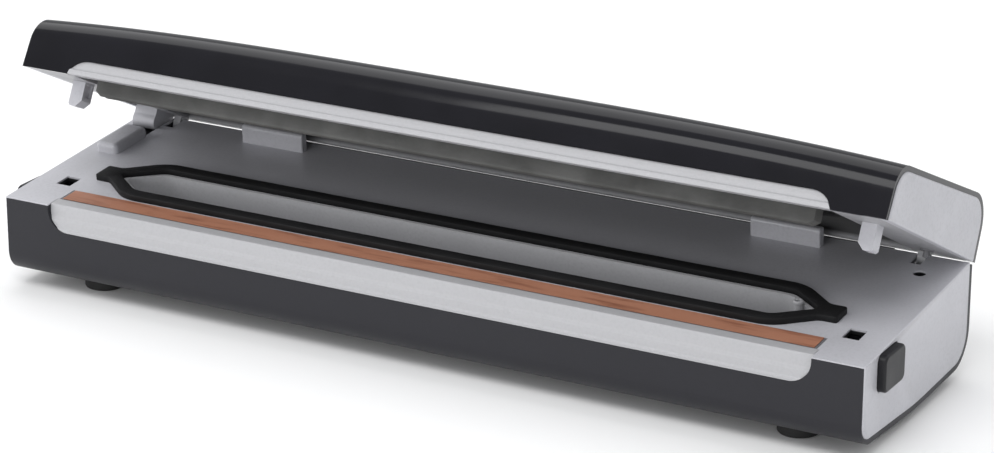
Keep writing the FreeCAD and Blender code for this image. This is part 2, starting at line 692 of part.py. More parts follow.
def make_lid_switch():
    """Microswitch body under the round hole in the deck."""
    y = 31.8
    body = box(161.5, 180.5, y - 3.3, y + 3.3, 24.0, 36.6)
    bracket = box(163.0, 179.0, y - 1.2, y + 1.2, 36.4, deck_z(y) - DECK_THICK - 0.4)
    well = rod(2.4, (171.6, y, 35.4), (171.6, y, 50))
    return cut(fused(body, bracket), well, rod(1.15, (171.6, y, 30.5), (171.6, y, 50)))


def make_switch_plunger():
    """Plunger of the microswitch, which the lid's pin works."""
    y = 31.8
    return rod(1.1, (171.6, y, 32.6), (171.6, y, deck_z(y) - 2.9))


# ---- Lid ----
def make_lid_shell():
    """Gloss-black crowned cover, open below and at both ends, with a cut-out for the trim."""
    long = HALF - END_PROUD
    outer = lid_body(0, 0, long)
    cap_x = HALF - CAP_THICK
    hollow = lid_body(LID_WALL, -2.0, long + 0.8).common(box(-cap_x, cap_x, -5, 120, -5, 60))
    shell = outer.cut(hollow)
    shell = cut(shell, prism_y(trim_outline(0), -5.0, 10.0))
    for _, side in SIDES:
        # The hole starts only just below the rim, so its slanted front runs parallel to the cap's.
        cap_hole = lid_profile(1.0, LID_WALL + 0.14, -0.1, END_REAR_INSET - 0.2)
        shell = cut(shell, prism_x(cap_hole, side * (cap_x - 0.05), side * HALF))
    return cut(shell, placed(panel_outline(0.15, -6, 6), PANEL))


def make_lid_cap(side):
    """Silver-grey cap in one end of the lid."""
    profile = lid_profile(1.0, LID_WALL + 0.24, 0, END_REAR_INSET - 0.1)
    cap = prism_x(profile, side * (HALF - CAP_THICK), side * HALF)
    return rounded_edges(cap, 0.6, lambda e: flat_at(e, "x", side * HALF))


def make_lid_liner():
    """Grey underside of the lid: a flat rim round a stepped pan."""
    rear = LID_DEPTH - LID_WALL - 0.3
    wide = HALF - 3.5
    plate = box(-wide, wide, LID_WALL + 0.4, rear, 0, 2.0)
    front_pan = box(-163.8, 163.8, 3.2, 64.0, 0, 7.6)
    rear_pan = box(-163.8, 163.8, 60.0, 93.9, 0, 11.2)
    front_space = box(-162.4, 162.4, 4.8, 62.4, -1, 6.0)
    rear_space = box(-162.4, 162.4, 61.6, 92.5, -1, 9.6)
    liner = cut(fused(plate, front_pan, rear_pan), front_space, rear_space)
    liner = cut(liner, box(-182.0, -168.4, 54.0, 95.4, -1, 5))
    for _, side in SIDES:
        u = HINGE_IN_LID.y
        liner = cut(liner, box(side * (HINGE_X - 1.75), side * (HINGE_X + 1.75), u - 5.7, 100, -1, 5))
        liner = cut(liner, box(side * 167.65, side * 173.75, 21.0, 27.8, -1, 5))
    return liner


def make_lid_trim():
    """Light-grey strip in the lid's front cut-out, with a raised lower lip."""
    steps = [
        (0.15, 0.1, 0.3), (-0.2, 1.9, 0.4), (0.75, 2.6, 0.4), (1.5, 6.2, 0),
        (1.75, 8.6, 0), (2.9, 8.6, 0), (3.1, 0.1, 0),
    ]
    solid = prism_x(steps, -TRIM_HALF, TRIM_HALF).common(prism_y(trim_outline(0.15), -5.0, 5.0))
    return cut(solid, box(-166, 166, LID_WALL + 0.05, 5, -1, 10))


def make_pressure_pad():
    """Dark silicone bar that presses the bag on the tape. It squashes as the lid shuts."""
    side_view = [(9.6, -5.4, 0.8), (16.6, -5.4, 0.8), (16.6, 6.0, 0), (9.6, 6.0, 0)]
    bar = prism_x(side_view, -154.3, 154.3)
    end_view = [(-160, 8, 0), (160, 8, 0), (160, -2, 0), (153.0, -6, 0), (-153.0, -6, 0), (-160, -2, 0)]
    return bar.common(prism_y(end_view, 0, 30))


def make_lid_gasket():
    """Black foam ring in the lid, facing the one in the base."""
    ring = cut(prism_z(gasket_outline(), 2.35, 6.0), prism_z(chamber_outline(0.3), 0, 8))
    return placed(ring, Placement(Vector(0, -LID_V, 0), Rotation()))


def make_switch_pin():
    """Pin under the lid that reaches the microswitch through the round hole."""
    u = 80.6 - LID_V - 0.7
    return fused(rod(1.2, (171.6, u, -3.0), (171.6, u, 0)), rod(2.6, (171.6, u, -0.6), (171.6, u, 0)))


def make_cable_duct():
    """Hollow leg that carries the wires from the base up into the lid."""
    side_view = [
        (80.6, 2.5, 0), (80.6, -2.5, 2.0), (78.9, -8.0, 3.6),
        (89.6, -8.6, 4.4), (94.2, -1.0, 3.0), (94.2, 2.5, 0),
    ]
    leg = prism_x(side_view, -181.2, -170.7)
    flange = box(-181.4, -169.9, 79.4, 95.2, 2.05, 3.5)
    bore = prism_x([(83.5, 8, 0), (83.0, -4.5, 1.5), (88.0, -4.5, 1.5), (89.0, 8, 0)], -177.4, -172.8)
    return cut(fused(leg, flange), bore)


# ---- Control panel on the lid's top, in the panel frame (x, along the lid, out of the lid) ----
PANEL_U = 60.0
PANEL_SLOPE = math.degrees(math.atan2(LID_REAR_HEIGHT - LID_FRONT_HEIGHT, LID_DEPTH - 2.8))
PANEL_W = LID_FRONT_HEIGHT + (PANEL_U - 2.0) * math.tan(math.radians(PANEL_SLOPE))
PANEL = Placement(Vector(0, PANEL_U, PANEL_W), Rotation(X_AXIS, PANEL_SLOPE))
PANEL_BUTTONS = (("vacuum_seal_button", -25.0), ("seal_button", 25.0))
LAMP_XS = (-6.0, 0.0, 6.0)


def panel_outline(grow, low, high):
    """The control panel's rounded outline, grown by an amount."""
    return prism_z(rectangle(-44 - grow, 44 + grow, -11 - grow, 11 + grow, 5.0 + grow), low, high)


def key_outline(x, grow):
    """One key's rounded outline."""
    return rectangle(x - 11 - grow, x + 11 + grow, -5.5 - grow, 5.5 + grow, 4.5 + grow)


def make_control_panel():
    """Panel let into the lid's top, with openings for the keys and lamps."""
    plate = panel_outline(0, -2.6, 0.3)
    plate = rounded_edges(plate, 0.25, lambda e: flat_at(e, "z", 0.3))
    for _, x in PANEL_BUTTONS:
        plate = cut(plate, prism_z(key_outline(x, 0.3), -5, 5))
    return cut(plate, *[rod(1.15, (x, 0, -5), (x, 0, 5)) for x in LAMP_XS])


def make_panel_key(x):
    """One key: a rounded cap with a flange under the panel."""
    cap = prism_z(key_outline(x, 0), -4.2, 1.2)
    cap = rounded_edges(cap, 0.6, lambda e: flat_at(e, "z", 1.2))
    return fused(cap, prism_z(key_outline(x, 1.2), -4.2, -3.0))


def make_lamp_lenses():
    """Three clear lamp lenses."""
    return Part.makeCompound([rod(1.1, (x, 0, -4.5), (x, 0, 0.45)) for x in LAMP_XS])


def make_lid_board():
    """Circuit board under the keys, with a switch below each key."""
    board = box(-42, 42, -10, 10, -9.0, -7.4)
    switches = [box(x - 3, x + 3, -3, 3, -7.5, -5.6) for _, x in PANEL_BUTTONS]
    return fused(board, *switches)


# ---- Export ----
def export(name, shape, placement):
    """Moves one piece into the row frame and writes it."""
    in_row = placed(shape, Placement(Vector(0, BASE_SHIFT_Y, 0), Rotation()).multiply(placement))
    in_row.exportStep("parts/" + name + ".step")
    if not in_row.isValid():
        print("not valid:", name)


def build():
    """Makes every piece."""
    os.makedirs("parts", exist_ok=True)
    base = Placement()
    lid = OPENED.multiply(LID_CLOSED)
    panel = lid.multiply(PANEL)
    pieces = [
        ("base_shell", make_base_shell(), base),
        ("base_frame", make_base_frame(), base),
        ("front_tray", make_front_tray(), base),
        ("chamber_liner", make_chamber_liner(), DECK),
        ("base_gasket", make_base_gasket(), DECK),
        ("vacuum_port", make_vacuum_port(), DECK),
        ("seal_backing_bar", make_seal_backing(), DECK),
        ("heating_wire", make_heating_wire(), DECK),
        ("seal_tape", make_seal_tape(), DECK),
        ("wire_terminals", make_wire_terminals(), DECK),
        ("cable_guard", make_cable_guard(), DECK),
        ("base_screws", make_base_screws(), base),
        ("motor_can", make_motor_can(), base),
        ("motor_shaft", make_motor_shaft(), base),
        ("pump_housing", make_pump_housing(), base),
        ("pump_diaphragm", make_pump_diaphragm(), base),
        ("pump_head", make_pump_head(), base),
        ("release_valve", make_release_valve(), base),
        ("vacuum_hose", make_vacuum_hose(), base),
        ("control_board", make_control_board(), base),
        ("power_transformer", make_transformer(), base),
        ("power_inlet", make_power_inlet(), base),
        ("lid_switch", make_lid_switch(), base),
        ("switch_plunger", make_switch_plunger(), base),
        ("lid_shell", make_lid_shell(), lid),
        ("lid_liner", make_lid_liner(), lid),
        ("lid_trim", make_lid_trim(), lid),
        ("pressure_pad", make_pressure_pad(), lid),
        ("lid_gasket", make_lid_gasket(), lid),
        ("switch_pin", make_switch_pin(), lid),
        ("cable_duct", make_cable_duct(), lid),
        ("control_panel", make_control_panel(), panel),
        ("panel_lamps", make_lamp_lenses(), panel),
        ("lid_board", make_lid_board(), panel),
    ]
    for name, x in PANEL_BUTTONS:
        pieces.append((name, make_panel_key(x), panel))
    for name, side in SIDES:
        for place, y in (("front", -FOOT_Y), ("rear", FOOT_Y)):
            pieces.append((f"foot_{place}_{name}", make_foot(side * FOOT_X, y), base))
        pieces += [
            (f"bag_stop_{name}", make_bag_stop(side), DECK),
            (f"hinge_bracket_{name}", make_hinge_bracket(side), base),
            (f"hinge_pin_{name}", make_hinge_pin(side), base),
            (f"latch_slide_{name}", make_latch_slide(side), DECK),
            (f"latch_spring_{name}", make_latch_spring(side), DECK),
            (f"release_button_{name}", make_release_button(side), base),
            (f"hinge_arm_{name}", make_hinge_arm(side), lid),
            (f"lid_hook_{name}", make_lid_hook(side), lid),
            (f"lid_cap_{name}", make_lid_cap(side), lid),
        ]
    for name, shape, placement in pieces:
        export(name, shape, placement)


build()
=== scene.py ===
import json
import math

import bmesh
import bpy
from mathutils import Euler, Matrix, Vector, noise

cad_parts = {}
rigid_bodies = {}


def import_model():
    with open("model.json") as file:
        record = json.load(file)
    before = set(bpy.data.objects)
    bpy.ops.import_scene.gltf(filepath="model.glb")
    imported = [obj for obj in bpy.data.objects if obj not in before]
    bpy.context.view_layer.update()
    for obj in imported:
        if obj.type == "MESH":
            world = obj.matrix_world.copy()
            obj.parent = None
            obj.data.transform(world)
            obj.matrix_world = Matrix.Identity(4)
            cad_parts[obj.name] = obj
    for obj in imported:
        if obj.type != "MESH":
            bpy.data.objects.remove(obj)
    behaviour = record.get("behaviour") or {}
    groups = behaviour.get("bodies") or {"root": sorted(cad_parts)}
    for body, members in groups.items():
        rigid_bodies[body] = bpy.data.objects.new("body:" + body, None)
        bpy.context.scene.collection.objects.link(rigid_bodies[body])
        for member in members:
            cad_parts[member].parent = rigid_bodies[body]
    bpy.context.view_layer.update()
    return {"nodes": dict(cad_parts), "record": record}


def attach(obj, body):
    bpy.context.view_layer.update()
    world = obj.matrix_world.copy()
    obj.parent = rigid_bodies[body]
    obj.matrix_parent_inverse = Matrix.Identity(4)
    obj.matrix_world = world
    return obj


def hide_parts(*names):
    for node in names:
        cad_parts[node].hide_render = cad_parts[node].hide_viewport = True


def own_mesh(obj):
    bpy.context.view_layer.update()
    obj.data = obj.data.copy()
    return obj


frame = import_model()

# A household bag vacuum sealer, with its lid open. Metres; +X along it, +Y to its rear, +Z up.

BODIES = frame["record"]["behaviour"]["bodies"]
BODY_OF = {node: body for body, nodes in BODIES.items() for node in nodes}

# ---- Where things are ----
MM = 0.001
BASE_SHIFT_Y = -6.92
HINGE = Vector((0.0, 46.8 + BASE_SHIFT_Y, 35.4)) * MM
DECK_TILT = math.radians(4.5)
OPEN_ANGLE = math.radians(31.26)
LID_GAP = 0.6
LID_V = -1.6
GASKET_MID_V = 33.2
CHAMBER_HALF_WIDTH = 11.0
CHAMBER_DEPTH = 8.5
HALF = 185.0
END_PROUD = 0.6
END_REAR_INSET = 3.6
CAP_THICK = 3.4
LID_DEPTH = 99.8
LID_WALL = 1.8
LID_FRONT_HEIGHT = 24.8
LID_REAR_HEIGHT = 29.2
LID_CROWN = 3.9
LID_CROWN_POWER = 3.3
TRIM_HALF = 163.6
TRIM_HEIGHT = 6.3
TRIM_CORNER = 8.8
PANEL_U = 60.0
PANEL_SLOPE = math.atan2(LID_REAR_HEIGHT - LID_FRONT_HEIGHT, LID_DEPTH - 2.8)
PANEL_W = LID_FRONT_HEIGHT + (PANEL_U - 2.0) * math.tan(PANEL_SLOPE)
PORT_X = 142.6
PORT_V = 36.4
PORT_TOP_H = 2.3

DECK = Matrix.Translation(Vector((0, -48.5 + BASE_SHIFT_Y, 37.8)) * MM) @ Matrix.Rotation(DECK_TILT, 4, "X")
LID_CLOSED = DECK @ Matrix.Translation(Vector((0, LID_V, LID_GAP)) * MM)
SWING = Matrix.Translation(HINGE) @ Matrix.Rotation(-OPEN_ANGLE, 4, "X") @ Matrix.Translation(-HINGE)
LID = SWING @ LID_CLOSED


# ---- Material helpers ----
class Surface:
    """One procedural material under construction, with short ways to add its nodes."""

    def __init__(self, name, colour, roughness, metallic=0.0):
        self.material = bpy.data.materials.new(name)
        self.material.use_nodes = True
        self.nodes = self.material.node_tree.nodes
        self.links = self.material.node_tree.links
        self.shader = self.nodes["Principled BSDF"]
        self.colour = colour
        self.roughness = roughness
        self.set("Metallic", metallic)
        self.place = self.nodes.new("ShaderNodeTexCoord").outputs["Object"]
        self.normal = None
        self.shade = None

    def set(self, socket, value):
        self.shader.inputs[socket].default_value = value

    def stretched(self, stretch):
        mapping = self.nodes.new("ShaderNodeMapping")
        mapping.inputs["Scale"].default_value = stretch
        self.links.new(self.place, mapping.inputs["Vector"])
        return mapping.outputs["Vector"]

    def noise(self, scale, detail=3.0, stretch=(1, 1, 1)):
        texture = self.nodes.new("ShaderNodeTexNoise")
        texture.inputs["Scale"].default_value = scale
        texture.inputs["Detail"].default_value = detail
        self.links.new(self.stretched(stretch), texture.inputs["Vector"])
        return texture.outputs["Fac"]

    def cells(self, scale):
        texture = self.nodes.new("ShaderNodeTexVoronoi")
        texture.inputs["Scale"].default_value = scale
        self.links.new(self.place, texture.inputs["Vector"])
        return texture.outputs["Distance"]

    def wave(self, scale, direction, stretch=(1, 1, 1)):
        texture = self.nodes.new("ShaderNodeTexWave")
        texture.bands_direction = direction
        texture.inputs["Scale"].default_value = scale
        self.links.new(self.stretched(stretch), texture.inputs["Vector"])
        return texture.outputs["Fac"]

    def remap(self, value, low, high, new_low, new_high):
        node = self.nodes.new("ShaderNodeMapRange")
        limits = {"From Min": low, "From Max": high, "To Min": new_low, "To Max": new_high}
        for socket, number in limits.items():
            node.inputs[socket].default_value = number
        self.links.new(value, node.inputs["Value"])
        return node.outputs["Result"]

    def height_in(self, placement):
        """Height above a tilted plane of the object, in metres, from the surface's own coordinates."""
        normal = placement.to_3x3() @ Vector((0, 0, 1))
        dot = self.nodes.new("ShaderNodeVectorMath")
        dot.operation = "DOT_PRODUCT"
        dot.inputs[1].default_value = normal
        self.links.new(self.place, dot.inputs[0])
        level = self.nodes.new("ShaderNodeMath")
        level.operation = "SUBTRACT"
        level.inputs[1].default_value = normal.dot(placement.translation)
        self.links.new(dot.outputs["Value"], level.inputs[0])
        return level.outputs["Value"]

    def within_x(self, half, soft):
        """1 inside |x| < half, falling to 0 over a soft edge."""
        parts = self.nodes.new("ShaderNodeSeparateXYZ")
        self.links.new(self.place, parts.inputs["Vector"])
        size = self.nodes.new("ShaderNodeMath")
        size.operation = "ABSOLUTE"
        self.links.new(parts.outputs["X"], size.inputs[0])
        return self.remap(size.outputs["Value"], half, half + soft, 1, 0)

    def both(self, first, second):
        product = self.nodes.new("ShaderNodeMath")
        product.operation = "MULTIPLY"
        self.links.new(first, product.inputs[0])
        self.links.new(second, product.inputs[1])
        return product.outputs["Value"]

    def vary_colour(self, value, other, low=0.3, high=0.7, amount=1):
        """Mixes the surface's colour towards another one where a texture is high."""
        mix = self.nodes.new("ShaderNodeMix")
        mix.data_type = "RGBA"
        mix.inputs["A"].default_value = (*self.colour, 1)
        if self.shade is not None:
            self.links.new(self.shade, mix.inputs["A"])
        mix.inputs["B"].default_value = (*other, 1)
        self.links.new(self.remap(value, low, high, 0, amount), mix.inputs["Factor"])
        self.shade = mix.outputs["Result"]

    def vary_roughness(self, value, amount, low=0.3, high=0.7):
        spread = self.remap(value, low, high, self.roughness - amount, self.roughness + amount)
        self.links.new(spread, self.shader.inputs["Roughness"])

    def bump(self, value, depth, strength=1.0):
        node = self.nodes.new("ShaderNodeBump")
        node.inputs["Distance"].default_value = depth
        node.inputs["Strength"].default_value = strength
        self.links.new(value, node.inputs["Height"])
        if self.normal is not None:
            self.links.new(self.normal, node.inputs["Normal"])
        self.normal = node.outputs["Normal"]

    def edge_wear(self, other, low=0.52, high=0.6, amount=0.5):
        """Lighter or darker rubbed edges."""
        sharp = self.nodes.new("ShaderNodeNewGeometry").outputs["Pointiness"]
        self.vary_colour(sharp, other, low, high, amount)

    def done(self):
        self.shader.inputs["Base Color"].default_value = (*self.colour, 1)
        if not self.shader.inputs["Roughness"].is_linked:
            self.shader.inputs["Roughness"].default_value = self.roughness
        if self.shade is not None:
            self.links.new(self.shade, self.shader.inputs["Base Color"])
        if self.normal is not None:
            self.links.new(self.normal, self.shader.inputs["Normal"])
        return self.material


def brighter(colour, factor):
    return tuple(min(1.0, channel * factor) for channel in colour)


def moulded_plastic(name, colour, roughness, grain_scale=2600, grain_depth=0.00004, flake=1.12):
    """Injection-moulded plastic with a fine spark-eroded grain."""
    surface = Surface(name, colour, roughness)
    surface.vary_colour(surface.noise(38, 4), brighter(colour, flake))
    surface.vary_colour(surface.noise(900, 2), brighter(colour, 0.94), 0.45, 0.7)
    surface.vary_roughness(surface.noise(55, 5), 0.06)
    surface.bump(surface.noise(grain_scale, 2), grain_depth, 0.5)
    surface.bump(surface.noise(24, 2), 0.0001, 0.15)
    surface.edge_wear(brighter(colour, 1.35), amount=0.35)
    return surface


# Heights above the deck and the lid's rim, in metres, between which a hidden face turns dark: painted shade
# inside the body and in the lid's recess.
DECK_PAINTED_SHADE_HEIGHTS = (-0.0009, -0.0005)
LID_PAINTED_SHADE_HEIGHTS = (0.0006, 0.0022)
END_PANEL_INNER_X = 0.1812
END_MASK_SOFTNESS = 0.0002


def add_black_finishes(made):
    black = moulded_plastic("satin_black_shell", (0.014, 0.014, 0.018), 0.42, 2200, 0.00005)
    black.set("Specular IOR Level", 0.32)
    made["black_shell"] = black.done()

    gloss = Surface("gloss_black_lid", (0.004, 0.0038, 0.006), 0.12)
    gloss.vary_colour(gloss.noise(30, 3), (0.007, 0.0068, 0.010))
    gloss.vary_roughness(gloss.noise(22, 6), 0.035)
    gloss.bump(gloss.noise(3000, 2), 0.00001, 0.3)
    gloss.set("Specular IOR Level", 0.34)
    made["gloss_black"] = gloss.done()


def add_pale_plastics(made):
    """The deck, trim and lining plastics. The deck's turns dark below its top and the lining's in the lid's
    recess, both as painted shade.
    """
    silver = moulded_plastic("silver_grey_plastic_painted_shade", (0.46, 0.46, 0.49), 0.38, 2600, 0.00003, 1.06)
    silver.set("Metallic", 0.08)
    painted_shade_below_deck = silver.remap(silver.height_in(DECK), *DECK_PAINTED_SHADE_HEIGHTS, 1, 0)
    between_ends = silver.within_x(END_PANEL_INNER_X, END_MASK_SOFTNESS)
    # Painted shade: the silver is painted near black below the deck's top, between the end panels, where the
    # body's inside lies in shadow.
    silver.vary_colour(silver.both(painted_shade_below_deck, between_ends), (0.012, 0.012, 0.013), 0, 1)
    made["silver_plastic"] = silver.done()
    light = moulded_plastic("light_grey_plastic", (0.365, 0.365, 0.378), 0.4, 2600, 0.00003, 1.04)
    made["light_plastic"] = light.done()
    made["white_plastic"] = moulded_plastic("white_plastic", (0.75, 0.75, 0.74), 0.45, flake=1.03).done()
    made["grey_plastic"] = moulded_plastic("grey_plastic", (0.14, 0.14, 0.15), 0.46).done()
    lining = moulded_plastic("mid_grey_plastic", (0.30, 0.30, 0.315), 0.46)
    # Painted shade: the lining is painted near black deeper in the lid than its rim, where the recess lies
    # in shadow.
    painted_recess_shade = lining.remap(lining.height_in(LID), *LID_PAINTED_SHADE_HEIGHTS, 0, 1)
    lining.vary_colour(painted_recess_shade, (0.030, 0.030, 0.032), 0, 1)
    made["mid_grey_plastic"] = lining.done()


def add_satin_plastic(made):
    satin = moulded_plastic("black_satin_plastic", (0.008, 0.008, 0.010), 0.42)
    satin.set("Specular IOR Level", 0.32)
    made["black_satin"] = satin.done()


def add_rubbers(made):
    for slot, name, colour, scale in (
        ("dark_foam", "closed_cell_foam", (0.0045, 0.0045, 0.005), 1500),
        ("pad_rubber", "silicone_pad", (0.068, 0.068, 0.066), 700),
        ("foot_rubber", "foot_rubber", (0.022, 0.022, 0.022), 1200),
        ("hose_rubber", "silicone_hose", (0.5, 0.5, 0.48), 300),
    ):
        rubber = Surface(name, colour, 0.72)
        rubber.vary_colour(rubber.noise(70, 4), brighter(colour, 1.6))
        rubber.vary_roughness(rubber.noise(90, 4), 0.1)
        rubber.bump(rubber.cells(scale), 0.00012, 0.45)
        rubber.set("Specular IOR Level", 0.25)
        made[slot] = rubber.done()


def add_tape(made):
    """The woven glass cloth over the sealing wire."""
    tape = Surface("glass_cloth_tape", (0.36, 0.155, 0.092), 0.5)
    tape.vary_colour(tape.noise(18, 4, (0.25, 6, 1)), (0.43, 0.20, 0.125))
    tape.vary_colour(tape.noise(420, 2, (0.12, 1, 1)), (0.25, 0.100, 0.058), 0.5, 0.75)
    tape.vary_roughness(tape.noise(160, 3), 0.08)
    tape.bump(tape.wave(420, "X"), 0.00006, 0.5)
    tape.bump(tape.wave(420, "Y"), 0.00006, 0.5)
    made["copper_tape"] = tape.done()


def add_metals(made):
    for slot, name, colour, roughness in (
        ("nickel", "nickel_chrome_wire", (0.62, 0.60, 0.57), 0.3),
        ("steel", "drawn_steel", (0.56, 0.57, 0.59), 0.32),
        ("zinc_screw", "zinc_plated_screw", (0.60, 0.60, 0.58), 0.3),
        ("brass", "brass_terminal", (0.72, 0.53, 0.25), 0.3),
    ):
        metal = Surface(name, colour, roughness, 1.0)
        metal.vary_colour(metal.noise(120, 4), brighter(colour, 0.8))
        metal.vary_roughness(metal.noise(500, 3, (0.05, 1, 1)), 0.1)
        metal.bump(metal.noise(1600, 2, (0.05, 1, 1)), 0.00002, 0.4)
        made[slot] = metal.done()


def add_electrical_finishes(made):
    board = moulded_plastic("green_circuit_board", (0.03, 0.15, 0.07), 0.4)
    board.vary_colour(board.cells(420), (0.06, 0.25, 0.11), 0.0, 0.25)
    made["green_board"] = board.done()

    winding = Surface("copper_winding", (0.42, 0.26, 0.08), 0.4)
    winding.vary_colour(winding.wave(900, "Z"), (0.25, 0.13, 0.04))
    winding.bump(winding.wave(900, "Z"), 0.0002)
    made["winding"] = winding.done()

    lamp = Surface("lamp_lens", (0.72, 0.86, 0.74), 0.18)
    lamp.vary_roughness(lamp.noise(300, 3), 0.05)
    lamp.bump(lamp.cells(1800), 0.00005, 0.3)
    lamp.set("Transmission Weight", 0.6)
    made["lamp"] = lamp.done()


def make_materials():
    """One finish for each material slot of the record."""
    made = {}
    add_black_finishes(made)
    add_pale_plastics(made)
    add_satin_plastic(made)
    add_rubbers(made)
    add_tape(made)
    add_metals(made)
    add_electrical_finishes(made)
    return made


MATERIALS = make_materials()


# ---- Mesh helpers ----
def new_piece(name, mesh_data, body, slot):
    """A piece in the scene that rides on a CAD body and takes its finish from a slot."""
    piece = bpy.data.objects.new(name, mesh_data)
    bpy.context.scene.collection.objects.link(piece)
    mesh_data.materials.clear()
    mesh_data.materials.append(MATERIALS[slot])
    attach(piece, body)
    return piece


def smooth_by_angle(piece, degrees=35):
    """Smooth shading with the sharp edges kept."""
    limit = math.radians(degrees)
    mesh = piece.data
    mesh.shade_smooth()
    work = bmesh.new()
    work.from_mesh(mesh)
    for edge in work.edges:
        edge.smooth = len(edge.link_faces) == 2 and edge.calc_face_angle(0) < limit
    work.to_mesh(mesh)
    work.free()


def join_rows(work, near, far):
    """Faces between two closed rows with the same number of points."""
    count = len(near)
    for k in range(count):
        m = (k + 1) % count
        work.faces.new((near[k], near[m], far[m], far[k]))


def join_stack(work, rows):
    """Faces from each row to the next, and one face across each end."""
    for near, far in zip(rows, rows[1:]):
        join_rows(work, near, far)
    work.faces.new(rows[0])
    work.faces.new(rows[-1][::-1])


def finished_mesh(name, work):
    """The bmesh as a new mesh with its faces turned outwards."""
    bmesh.ops.recalc_face_normals(work, faces=work.faces)
    mesh = bpy.data.meshes.new(name)
    work.to_mesh(mesh)
    work.free()
    return mesh


def dress_cad_nodes():
    """Gives every CAD node its slot's material."""
    for entry in frame["record"]["subparts"]:
        node = frame["nodes"][entry["node"]]
        node.data.materials.clear()
        node.data.materials.append(MATERIALS[entry["material_slot"]])


dress_cad_nodes()


def rounded_outline(corners, steps=8):
    """Points round a closed outline of corners (a, b, radius), with each corner turned by an arc."""
    points = []
    count = len(corners)
    for i, (a, b, radius) in enumerate(corners):
        here = Vector((a, b))
        before = (Vector(corners[i - 1][:2]) - here).normalized()
        after = (Vector(corners[(i + 1) % count][:2]) - here).normalized()
        if radius == 0:
            points.append(here)
            continue
        half = before.angle(after) / 2
        centre = here + (before + after).normalized() * (radius / math.sin(half))
        start = here + before * (radius / math.tan(half)) - centre
        turn = (here + after * (radius / math.tan(half)) - centre).angle_signed(start)
        points += [centre + Matrix.Rotation(turn * i_step / steps, 2) @ start for i_step in range(steps + 1)]
    return points


def mirrored(corners):
    """The x > 0 half of an outline, and the same corners mirrored in reverse."""
    return list(corners) + [(-a, b, r) for a, b, r in reversed(corners)]


def resampled(points, spacing):
    """The same closed outline with extra points, so that no side is longer than spacing."""
    dense = []
    for start, end in zip(points, points[1:] + points[:1]):
        count = max(1, math.ceil((end - start).length / spacing))
        dense += [start.lerp(end, k / count) for k in range(count)]
    return dense


def inset_outline(points, distance):
    """The closed outline moved inwards by a distance, point by point."""
    moved = []
    count = len(points)
    for i, point in enumerate(points):
        along = (points[(i + 1) % count] - points[i - 1]).normalized()
        moved.append(point + Vector((-along.y, along.x)) * distance)
    return moved


# ---- Foam gaskets ----
GASKET_CORNER_X = 140.5
GASKET_HALF_DEPTH = 16.7
GASKET_CORNER_RADIUS = 16.0
TAB_X = 154.6
TAB_END_X = 161.5
TAB_HALF_DEPTH = 5.1
TAB_RADIUS = 5.0
TAB_END_RADIUS = 1.2
OPENING_CORNER_X = 138.2
OPENING_CORNER_RADIUS = 8.0
OPENING_POINT_X = 152.9
OPENING_POINT_RADIUS = 2.3
OPENING_MARGIN = 0.3
FOAM_SPACING = 3.0
FOAM_SINK = 0.06
FOAM_WAVINESS = 0.09


def gasket_outline():
    """The ring's outer edge: slanted corners, and a short tab at each end."""
    return mirrored([
        (GASKET_CORNER_X, GASKET_MID_V - GASKET_HALF_DEPTH, GASKET_CORNER_RADIUS),
        (TAB_X, GASKET_MID_V - TAB_HALF_DEPTH, TAB_RADIUS),
        (TAB_END_X, GASKET_MID_V - TAB_HALF_DEPTH, TAB_END_RADIUS),
        (TAB_END_X, GASKET_MID_V + TAB_HALF_DEPTH, TAB_END_RADIUS),
        (TAB_X, GASKET_MID_V + TAB_HALF_DEPTH, TAB_RADIUS),
        (GASKET_CORNER_X, GASKET_MID_V + GASKET_HALF_DEPTH, GASKET_CORNER_RADIUS),
    ])


def gasket_opening():
    """The ring's inner edge, which comes to a rounded point at each end."""
    wide = CHAMBER_HALF_WIDTH + OPENING_MARGIN
    return mirrored([
        (OPENING_CORNER_X, GASKET_MID_V - wide, OPENING_CORNER_RADIUS),
        (OPENING_POINT_X, GASKET_MID_V, OPENING_POINT_RADIUS),
        (OPENING_CORNER_X, GASKET_MID_V + wide, OPENING_CORNER_RADIUS),
    ])


def foam_levels(root, free):
    """Each outline's height and how far it is drawn into the foam, from the root to the free face."""
    out = 1 if free > root else -1
    return [
        (root, 0.20), (root + out * 0.25, 0.05), (free - out * 0.40, 0.0),
        (free - out * 0.14, 0.09), (free, 0.30),
    ]


def foam_wall(work, outline, inwards, root, free, place):
    """One wall of the ring, as a stack of outlines joined by faces."""
    out = 1 if free > root else -1
    rows = []
    for height, inset in foam_levels(root, free):
        row = []
        for point in inset_outline(outline, inset * inwards):
            wobble = noise.noise(Vector((point.x * FOAM_WAVINESS, point.y * FOAM_WAVINESS, 0)))
            sunk = 0.0 if height == root else FOAM_SINK * (1 + wobble)
            here = Vector((point.x, point.y, height - out * sunk)) * MM
            row.append(work.verts.new(place @ here))
        rows.append(row)
    for below, above in zip(rows, rows[1:]):
        join_rows(work, below, above)
    return rows


def foam_ring(name, node, place, root, free):
    """A foam ring in the space of its CAD solid, from its glued root to its softened free face."""
    work = bmesh.new()
    walls = []
    for corners, inwards in ((gasket_outline(), 1), (gasket_opening(), -1)):
        outline = resampled(rounded_outline(corners), FOAM_SPACING)
        walls.append(foam_wall(work, outline, inwards, root, free, place))
    for end in (0, -1):
        edges = []
        for loop in (walls[0][end], walls[1][end]):
            edges += [work.edges.get((loop[i - 1], loop[i])) for i in range(len(loop))]
        bmesh.ops.triangle_fill(work, edges=edges, use_beauty=True)
    piece = new_piece(name, finished_mesh(name, work), BODY_OF[node], "dark_foam")
    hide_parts(node)
    smooth_by_angle(piece, 50)


# ---- Pressure pad ----
PAD_HALF = 154.3
PAD_CHAMFER_X = 152.4
PAD_CHAMFER_RISE = 0.9
PAD_LOWEST = -5.4
PAD_SAG = 0.06
PAD_SLICES = 160


